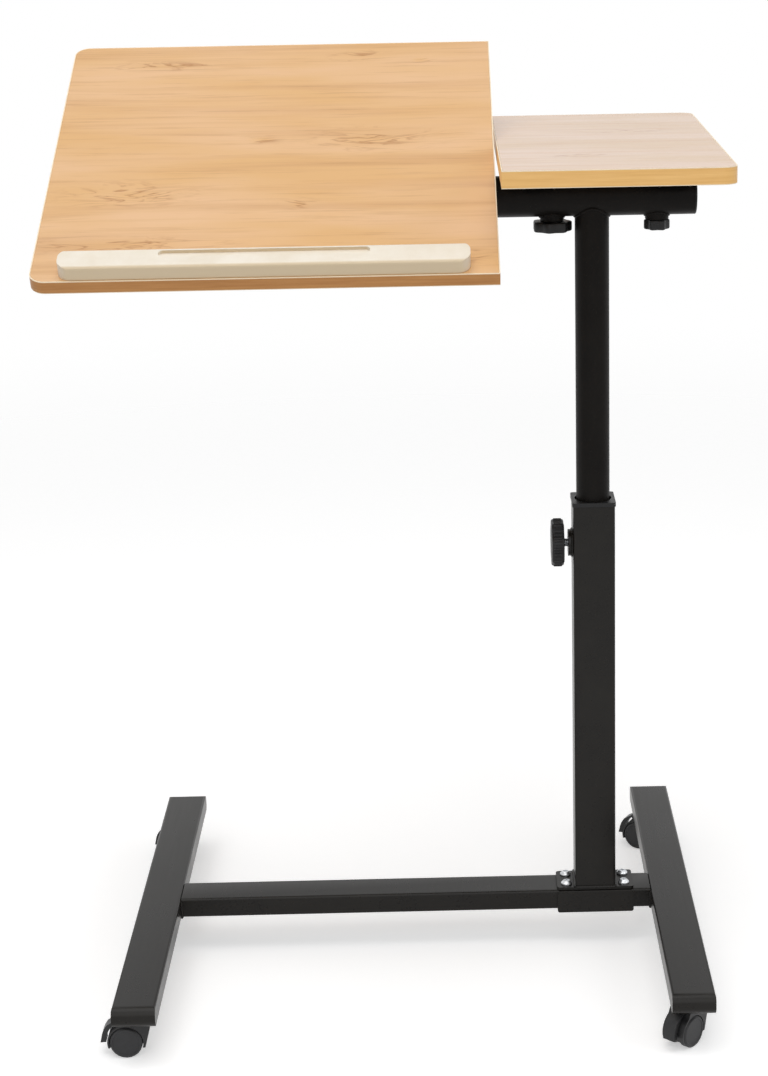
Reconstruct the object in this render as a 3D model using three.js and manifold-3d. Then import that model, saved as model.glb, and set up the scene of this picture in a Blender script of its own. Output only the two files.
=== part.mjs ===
// Rolling typewriter table. An H-shaped base on four braked casters carries a square column. A round post
// slides and turns in the column and ends in a cross tube with a small fixed top. A tube that turns inside
// the cross tube carries the large tilting top.
// Millimetres, +Z up. The floor is z = 0 and the origin is under the middle of the table's outline.
import * as THREE from 'three';
import { mergeVertices } from 'three/addons/utils/BufferGeometryUtils.js';
import Module from 'manifold-3d';

// Fits and facets
const SEAT = 0.3; // between pieces that are welded, screwed or pressed together
const RUNNING = 0.25; // radial play of what turns or slides
const BAND_FIT = 0.1; // glue line behind an edge band
const OVERCUT = 1; // how far a cutting shape runs past the face that it cuts
const ROUND = 32; // sides of a large round piece
const SMALL_ROUND = 16; // sides of a small round piece
const WHEEL_SIDES = 24;
const CORNER_STEPS = 3; // straight steps in a small round corner
const LARGE_STEPS = 6; // straight steps in a large round corner
const KNOB_RIM_STEPS = 2; // straight steps in the round rim of a knob

// Feet and crossbar
const FOOT_LENGTH = 507;
const FOOT_WIDTH = 40;
const FOOT_HEIGHT = 20;
const FOOT_WALL = 1.5;
const FOOT_EDGE = 2.5; // round of the long edges
const FOOT_NOSE = 9; // round of the closed ends
const FOOT_SPACING = 508; // between the middles of the feet
const COLUMN_TO_FOOT = 75; // from the column to the middle of the right foot
const CROSSBAR_DEPTH = 40;
const CROSSBAR_HEIGHT = 20;
const CROSSBAR_WALL = 1.5;
const CROSSBAR_EDGE = 2.5;

// Column, its flange and the saddle that clamps it to the crossbar
const COLUMN_WIDTH = 40;
const COLUMN_WALL = 1.5;
const COLUMN_EDGE = 2.5;
const COLUMN_LENGTH = 392.5;
const FLANGE_THICKNESS = 3;
const FLANGE_MARGIN = 4; // plate beyond the screw heads
const FLANGE_CORNER = 3;
const SADDLE_WALL = 1.8;
const SADDLE_BOTTOM = 3;
const SADDLE_CORNER = 3;
const SCREW_HEAD_RADIUS = 5.5;
const SCREW_HEAD_HEIGHT = 3.6;
const SCREW_HEAD_SIDE = 1.2; // upright side below the crown
const SCREW_HEAD_CROWN = 3.2; // radius of the flat on top of the head
const SCREW_RADIUS = 3;
const SCREW_HOLE_PLAY = 0.4;
const SCREW_TO_COLUMN = 3; // between a head and the column
const SCREW_TO_EDGE = 3.5; // between a head and the long edge of the plate
const RECESS_WIDTH = 1.2; // cross recess in a head
const RECESS_LENGTH = 5;
const RECESS_DEPTH = 1.6;

// Collar, guide bush and post
const COLLAR_LIP = 4;
const COLLAR_OVERHANG = 0.8;
const COLLAR_DEPTH = 26; // sleeve inside the column
const MOUTH_PLAY = 1.7; // wide mouth of the bore around the post
const GUIDE_WALL = 1.95;
const GUIDE_HEIGHT = 30;
const GUIDE_FLOOR = 4;
const POST_WALL = 1.5;
const POST_INSERTION = 170; // from the top of the collar to the lower end of the post
const POST_EXTENSION = 271; // from the top of the collar to the cross tube

// Clamping knobs
const STUD_RADIUS = 4;
const STUD_HOLE_PLAY = 0.4;
const STUD_GRIP = 6; // length held in a knob
const KNOB_ROUND = 1.6; // rounded rims of a knob
const LOBE_DEPTH = 2.6;
const LOBE_STEPS = 6;
const HEIGHT_KNOB_RADIUS = 23;
const HEIGHT_KNOB_THICKNESS = 12;
const HEIGHT_KNOB_LOBES = 7;
const HEIGHT_KNOB_BELOW = 14; // from the end of the collar's sleeve to the stud
const HEIGHT_BOSS_RADIUS = 13;
const HEIGHT_BOSS_THICKNESS = 4;
const HEIGHT_STUD_SHOWN = 4; // bare stud between boss and knob
const TILT_KNOB_RADIUS = 18.5;
const TILT_KNOB_LOBES = 7;
const END_KNOB_RADIUS = 12;
const END_KNOB_LOBES = 6;
const TILT_KNOB_THICKNESS = 9.5;
const TILT_BOSS_RADIUS = 11;
const TILT_BOSS_DROP = 3.5; // below the cross tube
const TILT_KNOB_GAP = 0.6; // between boss and knob
const KNOB_TO_POST = 2.5;
const END_KNOB_INSET = 34; // from the right end of the cross tube

// Cross tube, tilt tube and their plugs
const CROSS_TUBE_RADIUS = 19;
const CROSS_TUBE_WALL = 1.5;
const CROSS_TUBE_LAP = 8; // past the small top, under the big one
const CROSS_TUBE_INSET = 16; // short of the small top's right edge
const TILT_TUBE_WALL = 2;
const TILT_TUBE_TAIL = 20; // past the outer bracket
const PLUG_FLANGE = 1.5;
const PLUG_SPIGOT = 10;
const PLUG_ROUND = 0.6;

// Tops, brackets and stop bar
const SMALL_TOP_WIDTH = 200;
const SMALL_TOP_DEPTH = 400;
const SMALL_TOP_THICKNESS = 15;
const SMALL_TOP_OVERHANG = 112; // from the post to the right edge
const BIG_TOP_WIDTH = 400;
const BIG_TOP_DEPTH = 400;
const BIG_TOP_THICKNESS = 12;
const TOP_GAP = 2;
const TOP_CORNER = 14;
const BAND = 1;
const STANDOFF = 17; // from the cross tube to the small top
const TILT_ANGLE = 24;
const BRACKET_LENGTH = 200;
const BRACKET_WIDTH = 30;
const BRACKET_GAUGE = 2.5;
const BRACKET_END = 6; // depth of the folded sides at their ends
const BRACKET_CHEEK = 9; // metal beside the tube
const BRACKET_DROP = 10; // lower edge of the folded sides, above the tube's middle
const BRACKET_HOLE_RADIUS = 2.4;
const BRACKET_HOLE_INSET = 15; // from the bracket's end
const BRACKET_HOLE_PITCH = 30;
const SMALL_BRACKET_INSET = 38; // from the small top's sides to the brackets' middles
const BIG_BRACKET_INSET = 70;
const BAR_MARGIN = 25; // from the big top's sides
const BAR_SETBACK = 1.5; // from its front edge
const BAR_DEPTH = 28;
const BAR_HEIGHT = 13;
const BAR_END = 11; // round of the bar's ends, seen from above
const BAR_ROUND = 4; // round of its top edges
const GROOVE_LENGTH = 180;
const GROOVE_WIDTH = 9;
const GROOVE_DEPTH = 3;
const GROOVE_TO_BACK = 4.5;

// Casters
const CASTER_INSET = 34.5; // from a foot's end to the stem
const CASTER_TRAIL = 11;
const WHEEL_RADIUS = 15;
const WHEEL_WIDTH = 8.5;
const WHEEL_ROUND = 1.3;
const WHEEL_RIM = 2.4; // raised rim round the outer face
const WHEEL_DISH = 0.6;
const WHEEL_FACE = 1.8; // wall that closes the axle hole
const WHEEL_GAP = 0.5; // beside the web
const WHEEL_PROUD = 1; // of the hood's side
const TYRE_GAP = 0.8;
const WEB_WIDTH = 7;
const AXLE_RADIUS = 2.5;
const HOOD_WALL = 1.6;
const HOOD_ROOF = 7.2; // above the wheels
const HOOD_TOP_GAP = 2; // below the foot
const HOOD_SKIRT = 5; // below the axle
const HOOD_NOSE = 5; // how far its nose stands ahead of the wheels' roof
const HOOD_NOSE_DEPTH = 8;
const HOOD_SHOULDER = 4; // flat top behind the axle
const HOOD_ARC_START = 62; // degrees above level where the round back of the hood begins
const HOOD_ARC_END = -17;
const STEM_RADIUS = 4;
const STEM_LENGTH = 14; // inside the foot
const STEM_FLANGE_RADIUS = 8;
const STEM_PIN_RADIUS = 3;
const STEM_PIN_LENGTH = 6.5;
const LEVER_WIDTH = 12;
const LEVER_GAUGE = 4.4;
const LEVER_BARREL = 2.2; // radius at the pivot
const LEVER_BARREL_RAISE = 1.3; // of the pivot from the hood's sloping shoulder
const LEVER_GAP = 1.6; // between pad and hood
const LEVER_TOE = 1; // flare of the pad's lower end
const LEVER_TOE_SWEEP = 12; // degrees over which it flares
const LEVER_FROM = 42; // degrees above level, seen from the axle
const LEVER_TO = -4;
const CASTER_HEADINGS = {
  front_left: 180,
  front_right: 229.5,
  rear_left: 162,
  rear_right: 152,
};

// Colours and finishes
const FINISH = {
  steel: { color: '#2a2a2b', roughness: 0.45, metalness: 0.3 },
  plastic: { color: '#1d1d1e', roughness: 0.5, metalness: 0 },
  wheel: { color: '#343436', roughness: 0.6, metalness: 0 },
  zinc: { color: '#cfd2d4', roughness: 0.3, metalness: 0.9 },
  oak: { color: '#e6bd8c', roughness: 0.45, metalness: 0 },
  oakEdge: { color: '#cf9f63', roughness: 0.5, metalness: 0 },
  cream: { color: '#efe8dc', roughness: 0.4, metalness: 0 },
};

// Heights and places that follow from the sizes
const casterHeight = 2 * WHEEL_RADIUS + TYRE_GAP + HOOD_ROOF + HOOD_TOP_GAP;
const footTop = casterHeight + FOOT_HEIGHT;
const flangeBottom = footTop + SEAT;
const columnBottom = flangeBottom + FLANGE_THICKNESS + SEAT;
const columnTop = columnBottom + COLUMN_LENGTH;
const collarTop = columnTop + SEAT + COLLAR_LIP;
const columnBore = COLUMN_WIDTH - 2 * COLUMN_WALL;
const sleeveWidth = columnBore - 2 * SEAT;
const postRadius = sleeveWidth / 2 - GUIDE_WALL - RUNNING;
const postBottom = collarTop - POST_INSERTION;
const axisHeight = collarTop + POST_EXTENSION + CROSS_TUBE_RADIUS;
const topRise = CROSS_TUBE_RADIUS + STANDOFF + SMALL_TOP_THICKNESS;
const tiltTubeRadius = CROSS_TUBE_RADIUS - CROSS_TUBE_WALL - RUNNING;
const columnX = (BIG_TOP_WIDTH + TOP_GAP + SMALL_TOP_WIDTH) / 2 - SMALL_TOP_OVERHANG;

// Places along X, from the column
const rightFootX = COLUMN_TO_FOOT;
const leftFootX = COLUMN_TO_FOOT - FOOT_SPACING;
const smallRight = SMALL_TOP_OVERHANG;
const smallLeft = smallRight - SMALL_TOP_WIDTH;
const bigRight = smallLeft - TOP_GAP;
const bigLeft = bigRight - BIG_TOP_WIDTH;
const crossRight = smallRight - CROSS_TUBE_INSET - PLUG_FLANGE - SEAT;
const crossLeft = smallLeft - CROSS_TUBE_LAP;
const tiltKnobX = -(postRadius + KNOB_TO_POST + TILT_KNOB_RADIUS);
const endKnobX = crossRight - END_KNOB_INSET;

const wasm = await Module();
wasm.setup();

const radians = THREE.MathUtils.degToRad;

// Solids, joins and cuts
function solidOf(geometry) {
  const bare = geometry.clone();
  bare.deleteAttribute('normal');
  bare.deleteAttribute('uv');
  const merged = mergeVertices(bare);
  return new wasm.Manifold(new wasm.Mesh({
    numProp: 3,
    vertProperties: merged.attributes.position.array,
    triVerts: new Uint32Array(merged.index.array),
  }));
}

function geometryOf(solid) {
  const mesh = solid.getMesh();
  const geometry = new THREE.BufferGeometry();
  geometry.setAttribute('position', new THREE.BufferAttribute(mesh.vertProperties, 3));
  geometry.setIndex(new THREE.BufferAttribute(mesh.triVerts, 1));
  geometry.computeVertexNormals();
  return geometry;
}

function cut(base, ...tools) {
  return geometryOf(tools.reduce((rest, tool) => rest.subtract(solidOf(tool)), solidOf(base)));
}

function join(base, ...others) {
  return geometryOf(others.reduce((whole, other) => whole.add(solidOf(other)), solidOf(base)));
}

function common(base, other) {
  return geometryOf(solidOf(base).intersect(solidOf(other)));
}

// Outlines and bars
function roundedOutline(width, height, radius) {
  const x = width / 2 - radius;
  const y = height / 2 - radius;
  const outline = new THREE.Shape();
  outline.absarc(x, -y, radius, -Math.PI / 2, 0);
  outline.absarc(x, y, radius, 0, Math.PI / 2);
  outline.absarc(-x, y, radius, Math.PI / 2, Math.PI);
  outline.absarc(-x, -y, radius, Math.PI, Math.PI * 1.5);
  outline.closePath();
  return outline;
}

function extrude(outline, length, steps = CORNER_STEPS) {
  const options = { depth: length, bevelEnabled: false, curveSegments: steps };
  return new THREE.ExtrudeGeometry(outline, options);
}

// An outline drawn in Y and Z, carried along X from the given start.
function extrudeX(outline, start, length, steps) {
  const turn = new THREE.Matrix4().makeBasis(
    new THREE.Vector3(0, 1, 0),
    new THREE.Vector3(0, 0, 1),
    new THREE.Vector3(1, 0, 0),
  );
  return extrude(outline, length, steps).applyMatrix4(turn).translate(start, 0, 0);
}

// An outline drawn in X and Z, carried along Y and centred on it.
function extrudeY(outline, length, steps) {
  return extrude(outline, length, steps).rotateX(Math.PI / 2).translate(0, length / 2, 0);
}

function rodZ(radius, bottom, top, sides = ROUND) {
  const length = top - bottom;
  return new THREE.CylinderGeometry(radius, radius, length, sides)
    .rotateX(Math.PI / 2)
    .translate(0, 0, bottom + length / 2);
}

function rodX(radius, start, end, sides = ROUND) {
  return rodZ(radius, start, end, sides).rotateY(Math.PI / 2);
}

function rodY(radius, start, end, sides = ROUND) {
  return rodZ(radius, -end, -start, sides).rotateX(Math.PI / 2);
}

// A profile of radius and height turned about Z, starting and ending on the axis.
function turned(profile, sides = ROUND) {
  const points = profile.map(([radius, height]) => new THREE.Vector2(radius, height));
  return new THREE.LatheGeometry(points, sides).rotateX(Math.PI / 2);
}

const table = new THREE.Group();

function add(parent, name, geometry, finish) {
  const mesh = new THREE.Mesh(geometry, new THREE.MeshStandardMaterial(finish));
  mesh.name = name;
  parent.add(mesh);
}

const steel = (parent, name, geometry) => add(parent, name, geometry, FINISH.steel);
const plastic = (parent, name, geometry) => add(parent, name, geometry, FINISH.plastic);
const zinc = (parent, name, geometry) => add(parent, name, geometry, FINISH.zinc);

const base = new THREE.Group();
base.position.x = columnX;
table.add(base);

// Feet: closed bars with rounded ends, hollow, and drilled from below for the caster stems
const stemY = FOOT_LENGTH / 2 - CASTER_INSET;

function footGeometry() {
  const bar = common(
    extrudeY(roundedOutline(FOOT_WIDTH, FOOT_HEIGHT, FOOT_EDGE), FOOT_LENGTH),
    extrudeX(roundedOutline(FOOT_LENGTH, FOOT_HEIGHT, FOOT_NOSE), -FOOT_WIDTH / 2, FOOT_WIDTH, LARGE_STEPS),
  );
  const hollow = new THREE.BoxGeometry(
    FOOT_WIDTH - 2 * FOOT_WALL,
    FOOT_LENGTH - 2 * FOOT_NOSE,
    FOOT_HEIGHT - 2 * FOOT_WALL,
  );
  const hole = rodZ(STEM_RADIUS + SEAT, -FOOT_HEIGHT / 2 - OVERCUT, 0, SMALL_ROUND);
  const front = hole.clone().translate(0, -stemY, 0);
  const rear = hole.clone().translate(0, stemY, 0);
  return cut(bar, hollow, front, rear).translate(0, 0, casterHeight + FOOT_HEIGHT / 2);
}

steel(base, 'left_foot', footGeometry().translate(leftFootX, 0, 0));
steel(base, 'right_foot', footGeometry().translate(rightFootX, 0, 0));

// Crossbar: a tube between the feet, drilled for the saddle screws
const screwX = COLUMN_WIDTH / 2 + SCREW_TO_COLUMN + SCREW_HEAD_RADIUS;
const screwY = CROSSBAR_DEPTH / 2 - SCREW_TO_EDGE - SCREW_HEAD_RADIUS;
const screwPlaces = {
  front_left: [-screwX, -screwY],
  front_right: [screwX, -screwY],
  rear_left: [-screwX, screwY],
  rear_right: [screwX, screwY],
};
const crossbarBottom = footTop - CROSSBAR_HEIGHT;
const saddleTop = footTop;
const saddleInside = crossbarBottom - SEAT;
const saddleUnderside = saddleInside - SADDLE_BOTTOM;
const screwHoles = Object.values(screwPlaces).map(([x, y]) => {
  const hole = rodZ(SCREW_RADIUS + SCREW_HOLE_PLAY, saddleUnderside - OVERCUT, columnBottom, SMALL_ROUND);
  return hole.translate(x, y, 0);
});

function tubeOutline(width, height, edge, wall) {
  const outline = roundedOutline(width, height, edge);
  outline.holes.push(roundedOutline(width - 2 * wall, height - 2 * wall, Math.max(edge - wall, wall / 2)));
  return outline;
}

const crossbarStart = leftFootX + FOOT_WIDTH / 2 + SEAT;
const crossbarEnd = rightFootX - FOOT_WIDTH / 2 - SEAT;
const crossbar = extrudeX(
  tubeOutline(CROSSBAR_DEPTH, CROSSBAR_HEIGHT, CROSSBAR_EDGE, CROSSBAR_WALL),
  crossbarStart,
  crossbarEnd - crossbarStart,
).translate(0, 0, footTop - CROSSBAR_HEIGHT / 2);
steel(base, 'crossbar', cut(crossbar, ...screwHoles));

// Saddle: a folded plate round the crossbar's underside and sides
const flangeLength = 2 * (screwX + SCREW_HEAD_RADIUS + FLANGE_MARGIN);
const saddleHeight = saddleTop - saddleUnderside;
const saddleDepth = CROSSBAR_DEPTH + 2 * (SEAT + SADDLE_WALL);
const saddleBlock = common(
  extrudeX(roundedOutline(saddleDepth, saddleHeight, SADDLE_WALL / 2), -flangeLength / 2, flangeLength),
  extrudeY(roundedOutline(flangeLength, saddleHeight, SADDLE_CORNER), saddleDepth),
).translate(0, 0, saddleUnderside + saddleHeight / 2);
const saddleHollow = new THREE.BoxGeometry(
  flangeLength + 2 * OVERCUT,
  CROSSBAR_DEPTH + 2 * SEAT,
  saddleHeight,
).translate(0, 0, saddleInside + saddleHeight / 2);
steel(base, 'saddle_clamp', cut(saddleBlock, saddleHollow, ...screwHoles));

// Flange plate under the column
const flange = extrude(roundedOutline(flangeLength, CROSSBAR_DEPTH, FLANGE_CORNER), FLANGE_THICKNESS);
steel(base, 'column_flange', cut(flange.translate(0, 0, flangeBottom), ...screwHoles));

// Saddle screws: pan heads with a cross recess, threaded into the saddle's floor
const headBottom = flangeBottom + FLANGE_THICKNESS + SEAT;
const headTop = headBottom + SCREW_HEAD_HEIGHT;

function screwGeometry() {
  const body = turned([
    [0, saddleUnderside],
    [SCREW_RADIUS, saddleUnderside],
    [SCREW_RADIUS, headBottom],
    [SCREW_HEAD_RADIUS, headBottom],
    [SCREW_HEAD_RADIUS, headBottom + SCREW_HEAD_SIDE],
    [SCREW_HEAD_CROWN, headTop],
    [0, headTop],
  ], SMALL_ROUND);
  const slotHeight = RECESS_DEPTH + OVERCUT;
  const slot = new THREE.BoxGeometry(RECESS_LENGTH, RECESS_WIDTH, slotHeight);
  slot.translate(0, 0, headTop - RECESS_DEPTH + slotHeight / 2);
  return cut(body, slot, slot.clone().rotateZ(Math.PI / 2));
}

for (const [place, [x, y]] of Object.entries(screwPlaces)) {
  zinc(base, `saddle_screw_${place}`, screwGeometry().translate(x, y, 0));
}

// Column: a square tube with a hole in its left wall for the height stud
const sleeveBottom = columnTop - COLLAR_DEPTH;
const heightKnobZ = sleeveBottom - HEIGHT_KNOB_BELOW;
const column = extrude(tubeOutline(COLUMN_WIDTH, COLUMN_WIDTH, COLUMN_EDGE, COLUMN_WALL), COLUMN_LENGTH);
const studHole = rodX(STUD_RADIUS + STUD_HOLE_PLAY, -COLUMN_WIDTH, 0, SMALL_ROUND).translate(0, 0, heightKnobZ);
steel(base, 'column_tube', cut(column.translate(0, 0, columnBottom), studHole));

// Collar: a plastic cap with a sleeve inside the column and a wide mouth round the post
const lipWidth = COLUMN_WIDTH + 2 * COLLAR_OVERHANG;
const lip = extrude(roundedOutline(lipWidth, lipWidth, COLUMN_EDGE), COLLAR_LIP);
const sleeve = extrude(roundedOutline(sleeveWidth, sleeveWidth, COLUMN_EDGE), COLLAR_DEPTH + COLLAR_LIP);
plastic(base, 'column_collar', cut(
  join(lip.translate(0, 0, collarTop - COLLAR_LIP), sleeve.translate(0, 0, sleeveBottom)),
  rodZ(postRadius + RUNNING, sleeveBottom - OVERCUT, collarTop + OVERCUT),
  rodZ(postRadius + MOUTH_PLAY, collarTop - COLLAR_LIP, collarTop + OVERCUT),
));

// Height clamp: a welded boss, a stud that bears on the post, and a lobed knob
function lobedOutline(radius, lobes) {
  const count = lobes * LOBE_STEPS;
  const points = [];
  for (let i = 0; i < count; i += 1) {
    const angle = (i / count) * 2 * Math.PI;
    const reach = radius - (LOBE_DEPTH * (1 - Math.cos(lobes * angle))) / 2;
    points.push(new THREE.Vector2(reach * Math.cos(angle), reach * Math.sin(angle)));
  }
  return new THREE.Shape(points);
}

// The knob's clamping face is z = 0 and its body lies below it.
function knobGeometry(radius, thickness, lobes) {
  const body = new THREE.ExtrudeGeometry(lobedOutline(radius, lobes), {
    depth: thickness - 2 * KNOB_ROUND,
    bevelThickness: KNOB_ROUND,
    bevelSize: KNOB_ROUND,
    bevelOffset: -KNOB_ROUND,
    bevelSegments: KNOB_RIM_STEPS,
  }).translate(0, 0, KNOB_ROUND - thickness);
  return cut(body, rodZ(STUD_RADIUS + SEAT, -STUD_GRIP, OVERCUT, SMALL_ROUND));
}

// The stud starts in the knob and reaches past the clamping face.
function studGeometry(reach) {
  return rodZ(STUD_RADIUS, SEAT - STUD_GRIP, reach, SMALL_ROUND);
}

const heightBossX = -COLUMN_WIDTH / 2 - SEAT;
const heightKnobX = heightBossX - HEIGHT_BOSS_THICKNESS - HEIGHT_STUD_SHOWN;
const heightBoss = cut(
  rodX(HEIGHT_BOSS_RADIUS, heightBossX - HEIGHT_BOSS_THICKNESS, heightBossX),
  rodX(STUD_RADIUS + RUNNING, heightBossX - COLUMN_WIDTH, 0, SMALL_ROUND),
);
steel(base, 'height_boss', heightBoss.translate(0, 0, heightKnobZ));

const heightClamp = new THREE.Group();
heightClamp.position.set(heightKnobX, 0, heightKnobZ);
heightClamp.rotation.y = Math.PI / 2;
base.add(heightClamp);
const heightKnob = knobGeometry(HEIGHT_KNOB_RADIUS, HEIGHT_KNOB_THICKNESS, HEIGHT_KNOB_LOBES);
plastic(heightClamp, 'height_knob', heightKnob);
zinc(heightClamp, 'height_stud', studGeometry(-postRadius - SEAT - heightKnobX));

// Guide bush: a square plastic shoe on the lower end of the post
const guideTop = postBottom - SEAT - GUIDE_FLOOR + GUIDE_HEIGHT;
const guide = extrude(roundedOutline(sleeveWidth, sleeveWidth, COLUMN_EDGE), GUIDE_HEIGHT);
plastic(base, 'guide_bush', cut(
  guide.translate(0, 0, guideTop - GUIDE_HEIGHT),
  rodZ(postRadius + RUNNING, postBottom - SEAT, guideTop + OVERCUT),
));

// Post: a round tube, shaped at its head to the cross tube
const head = new THREE.Group();
head.position.set(columnX, 0, 0);
table.add(head);
steel(head, 'post_tube', cut(
  rodZ(postRadius, postBottom, axisHeight),
  rodZ(postRadius - POST_WALL, postBottom - OVERCUT, axisHeight + OVERCUT),
  rodX(CROSS_TUBE_RADIUS + SEAT, -2 * postRadius, 2 * postRadius).translate(0, 0, axisHeight),
));

// Cross tube: welded across the post's head, with a hole above each tilt boss
const arm = new THREE.Group();
arm.position.z = axisHeight;
head.add(arm);
const clampHoles = [tiltKnobX, endKnobX].map((x) => (
  rodZ(STUD_RADIUS + STUD_HOLE_PLAY, -2 * CROSS_TUBE_RADIUS, 0, SMALL_ROUND).translate(x, 0, 0)
));
const crossBore = CROSS_TUBE_RADIUS - CROSS_TUBE_WALL;
steel(arm, 'cross_tube', cut(
  rodX(CROSS_TUBE_RADIUS, crossLeft, crossRight),
  rodX(crossBore, crossLeft - OVERCUT, crossRight + OVERCUT),
  ...clampHoles,
));

// A plug with a flange over the tube's end and a spigot inside it, along +X from the tube's end
function plugGeometry(tubeRadius, bore) {
  return turned([
    [0, -PLUG_SPIGOT],
    [bore - SEAT, -PLUG_SPIGOT],
    [bore - SEAT, SEAT],
    [tubeRadius, SEAT],
    [tubeRadius, SEAT + PLUG_FLANGE - PLUG_ROUND],
    [tubeRadius - PLUG_ROUND, SEAT + PLUG_FLANGE],
    [0, SEAT + PLUG_FLANGE],
  ]).rotateY(Math.PI / 2);
}

plastic(arm, 'cross_tube_plug', plugGeometry(CROSS_TUBE_RADIUS, crossBore).translate(crossRight, 0, 0));

// Tilt clamps under the cross tube: a boss, a stud that bears on the tilt tube, and a knob
function tiltClamp(name, x, radius, lobes) {
  const bossBottom = -CROSS_TUBE_RADIUS - TILT_BOSS_DROP;
  const boss = cut(
    rodZ(TILT_BOSS_RADIUS, bossBottom, 0),
    rodX(CROSS_TUBE_RADIUS + SEAT, -2 * TILT_BOSS_RADIUS, 2 * TILT_BOSS_RADIUS),
    rodZ(STUD_RADIUS + RUNNING, bossBottom - OVERCUT, 0, SMALL_ROUND),
  );
  steel(arm, `${name}_boss`, boss.translate(x, 0, 0));
  const clamp = new THREE.Group();
  clamp.position.set(x, 0, bossBottom - TILT_KNOB_GAP);
  arm.add(clamp);
  plastic(clamp, `${name}_knob`, knobGeometry(radius, TILT_KNOB_THICKNESS, lobes));
  zinc(clamp, `${name}_stud`, studGeometry(-tiltTubeRadius - SEAT - clamp.position.z));
}

tiltClamp('tilt', tiltKnobX, TILT_KNOB_RADIUS, TILT_KNOB_LOBES);
tiltClamp('tilt_end', endKnobX, END_KNOB_RADIUS, END_KNOB_LOBES);

// Bracket: folded sheet with two sides that straddle the tube and a drilled plate under the board
function bracketGeometry(tubeRadius, plateTop) {
  const half = BRACKET_LENGTH / 2;
  const cheek = tubeRadius + BRACKET_CHEEK;
  const side = new THREE.Shape([
    new THREE.Vector2(-half, plateTop),
    new THREE.Vector2(-half, plateTop - BRACKET_END),
    new THREE.Vector2(-cheek, BRACKET_DROP),
    new THREE.Vector2(cheek, BRACKET_DROP),
    new THREE.Vector2(half, plateTop - BRACKET_END),
    new THREE.Vector2(half, plateTop),
  ]);
  const inside = new THREE.BoxGeometry(
    BRACKET_WIDTH - 2 * BRACKET_GAUGE,
    BRACKET_LENGTH + 2 * OVERCUT,
    2 * plateTop,
  ).translate(0, 0, -BRACKET_GAUGE);
  const outerHole = half - BRACKET_HOLE_INSET;
  const innerHole = outerHole - BRACKET_HOLE_PITCH;
  const holes = [-outerHole, -innerHole, innerHole, outerHole].map((y) => (
    rodZ(BRACKET_HOLE_RADIUS, 0, plateTop + OVERCUT, SMALL_ROUND).translate(0, y, 0)
  ));
  return cut(
    extrudeX(side, -BRACKET_WIDTH / 2, BRACKET_WIDTH),
    inside,
    rodX(tubeRadius + SEAT, -BRACKET_WIDTH, BRACKET_WIDTH),
    ...holes,
  );
}

// A board's outline: two round corners on its outer side, square corners beside the other top
function boardOutline(left, right, depth, roundSide, inset) {
  const x0 = left + inset;
  const x1 = right - inset;
  const y = depth / 2 - inset;
  const r = TOP_CORNER - inset;
  const outline = new THREE.Shape();
  if (roundSide > 0) {
    outline.moveTo(x0, y);
    outline.lineTo(x0, -y);
    outline.absarc(x1 - r, -y + r, r, -Math.PI / 2, 0);
    outline.absarc(x1 - r, y - r, r, 0, Math.PI / 2);
  } else {
    outline.moveTo(x1, -y);
    outline.lineTo(x1, y);
    outline.absarc(x0 + r, y - r, r, Math.PI / 2, Math.PI);
    outline.absarc(x0 + r, -y + r, r, Math.PI, Math.PI * 1.5);
  }
  outline.closePath();
  return outline;
}

// A board and the band glued round its edge, with the top face level with the other board's
function board(parent, name, left, right, depth, thickness, roundSide) {
  const core = extrude(boardOutline(left, right, depth, roundSide, BAND + BAND_FIT), thickness, LARGE_STEPS);
  const ring = boardOutline(left, right, depth, roundSide, 0);
  ring.holes.push(boardOutline(left, right, depth, roundSide, BAND));
  const band = extrude(ring, thickness, LARGE_STEPS);
  const bottom = topRise - thickness;
  add(parent, name, core.translate(0, 0, bottom), FINISH.oak);
  add(parent, `${name}_edge_band`, band.translate(0, 0, bottom), FINISH.oakEdge);
}

// Small top, fixed on the cross tube
const smallPlateTop = topRise - SMALL_TOP_THICKNESS - SEAT;
const smallBracketLeft = smallLeft + SMALL_BRACKET_INSET;
const smallBracketRight = smallRight - SMALL_BRACKET_INSET;
const smallBracket = bracketGeometry(CROSS_TUBE_RADIUS, smallPlateTop);
steel(arm, 'small_top_bracket_left', smallBracket.clone().translate(smallBracketLeft, 0, 0));
steel(arm, 'small_top_bracket_right', smallBracket.clone().translate(smallBracketRight, 0, 0));
board(arm, 'small_top', smallLeft, smallRight, SMALL_TOP_DEPTH, SMALL_TOP_THICKNESS, 1);

// Tilting top: the tilt tube, its plug, two brackets, the big board and the stop bar
const tilting = new THREE.Group();
tilting.rotation.x = radians(TILT_ANGLE);
arm.add(tilting);
const bigBracketLeft = bigLeft + BIG_BRACKET_INSET;
const bigBracketRight = bigRight - BIG_BRACKET_INSET;
const tiltTubeLeft = bigBracketLeft - BRACKET_WIDTH / 2 - TILT_TUBE_TAIL;
const tiltTubeRight = crossRight - PLUG_SPIGOT - SEAT;
const tiltBore = tiltTubeRadius - TILT_TUBE_WALL;
steel(tilting, 'tilt_tube', cut(
  rodX(tiltTubeRadius, tiltTubeLeft, tiltTubeRight),
  rodX(tiltBore, tiltTubeLeft - OVERCUT, tiltTubeRight + OVERCUT),
));
const tiltPlug = plugGeometry(tiltTubeRadius, tiltBore).rotateZ(Math.PI);
plastic(tilting, 'tilt_tube_plug', tiltPlug.translate(tiltTubeLeft, 0, 0));

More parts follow.
